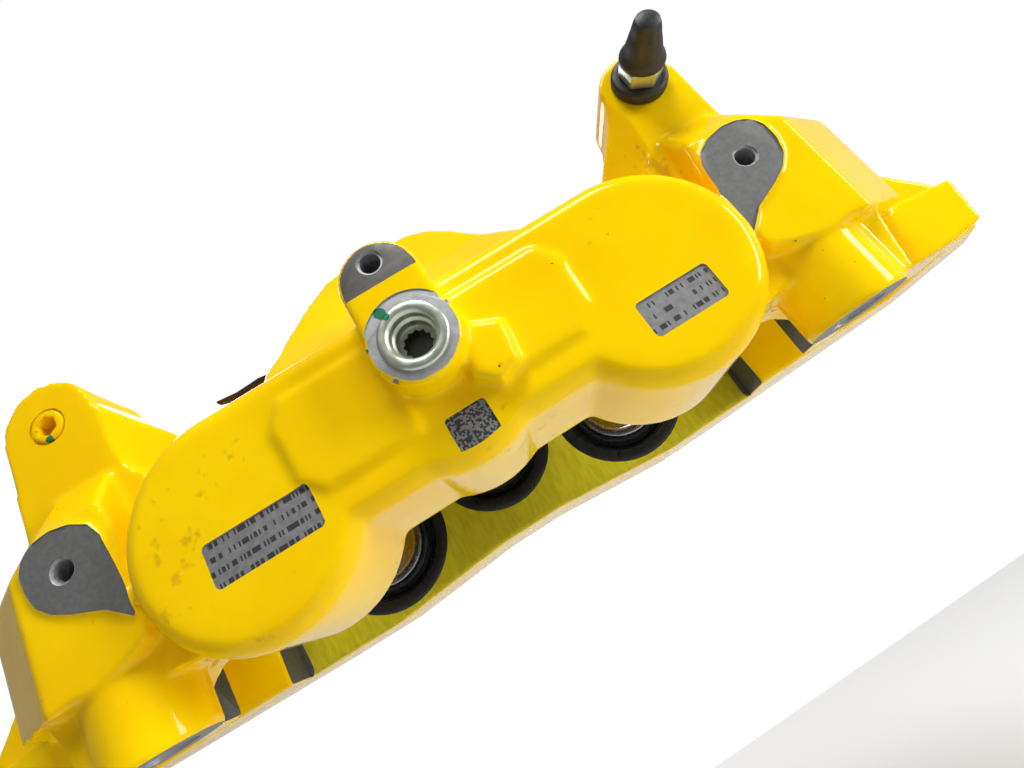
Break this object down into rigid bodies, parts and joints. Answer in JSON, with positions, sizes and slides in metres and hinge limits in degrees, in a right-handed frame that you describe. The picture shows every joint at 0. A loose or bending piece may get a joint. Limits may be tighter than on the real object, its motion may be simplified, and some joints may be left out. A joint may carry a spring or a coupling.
{
  "type": "brake caliper",
  "caption": "Fixed opposed-piston disc brake caliper with a one-piece bridged casting and radial mounting holes.",
  "frame": {"origin": "where the disc's mid-plane, the caliper's middle and the plane of the mounting faces meet", "axes": "+X along the caliper's length, +Y outboard along the disc's axis, +Z radially outward from the disc's axis"},
  "size_m": [0.3472, 0.16, 0.1001],
  "materials": {
    "paint": "gloss yellow enamel",
    "zinc_steel": "zinc plated",
    "piston_metal": "ground and plated",
    "boot_rubber": "satin",
    "seal_rubber": "matt",
    "cap_rubber": "matt",
    "spring_steel": "dark brown coated"
  },
  "bodies": {
    "caliper": {"caliper_body": "paint", "inlet_adapter": "zinc_steel", "port_plug": "paint", "cap_ring": "cap_rubber", "pad_spring": "spring_steel", "seal_inboard_left": "seal_rubber", "seal_inboard_middle": "seal_rubber", "seal_inboard_right": "seal_rubber", "seal_outboard_left": "seal_rubber", "seal_outboard_middle": "seal_rubber", "seal_outboard_right": "seal_rubber", "boot_inboard_left": "boot_rubber", "boot_inboard_middle": "boot_rubber", "boot_inboard_right": "boot_rubber", "boot_outboard_left": "boot_rubber", "boot_outboard_middle": "boot_rubber", "boot_outboard_right": "boot_rubber"},
    "piston_inboard_left": {"piston_inboard_left": "piston_metal"},
    "piston_inboard_middle": {"piston_inboard_middle": "piston_metal"},
    "piston_inboard_right": {"piston_inboard_right": "piston_metal"},
    "piston_outboard_left": {"piston_outboard_left": "piston_metal"},
    "piston_outboard_middle": {"piston_outboard_middle": "piston_metal"},
    "piston_outboard_right": {"piston_outboard_right": "piston_metal"},
    "bleeder_screw": {"bleeder_screw": "zinc_steel"},
    "bleeder_cap": {"bleeder_cap": "cap_rubber"}
  },
  "joints": [
    {"name": "inboard_left_piston_slide", "type": "slide", "parent": "caliper", "child": "piston_inboard_left", "axis": [0, 1, 0], "range_m": [0, 0.012], "deforming": ["boot_inboard_left"]},
    {"name": "inboard_middle_piston_slide", "type": "slide", "parent": "caliper", "child": "piston_inboard_middle", "axis": [0, 1, 0], "range_m": [0, 0.012], "deforming": ["boot_inboard_middle"]},
    {"name": "inboard_right_piston_slide", "type": "slide", "parent": "caliper", "child": "piston_inboard_right", "axis": [0, 1, 0], "range_m": [0, 0.012], "deforming": ["boot_inboard_right"]},
    {"name": "outboard_left_piston_slide", "type": "slide", "parent": "caliper", "child": "piston_outboard_left", "axis": [0, -1, 0], "range_m": [0, 0.012], "deforming": ["boot_outboard_left"]},
    {"name": "outboard_middle_piston_slide", "type": "slide", "parent": "caliper", "child": "piston_outboard_middle", "axis": [0, -1, 0], "range_m": [0, 0.012], "deforming": ["boot_outboard_middle"]},
    {"name": "outboard_right_piston_slide", "type": "slide", "parent": "caliper", "child": "piston_outboard_right", "axis": [0, -1, 0], "range_m": [0, 0.012], "deforming": ["boot_outboard_right"]},
    {"name": "bleeder_screw_turn", "type": "hinge", "parent": "caliper", "child": "bleeder_screw", "pos_m": [0.092, -0.06, 0.0863], "axis": [0, 1, 0], "range_deg": [0, 360]},
    {"name": "bleeder_cap_pull", "type": "slide", "parent": "caliper", "child": "bleeder_cap", "axis": [0, -1, 0], "range_m": [0, 0.02]}
  ]
}
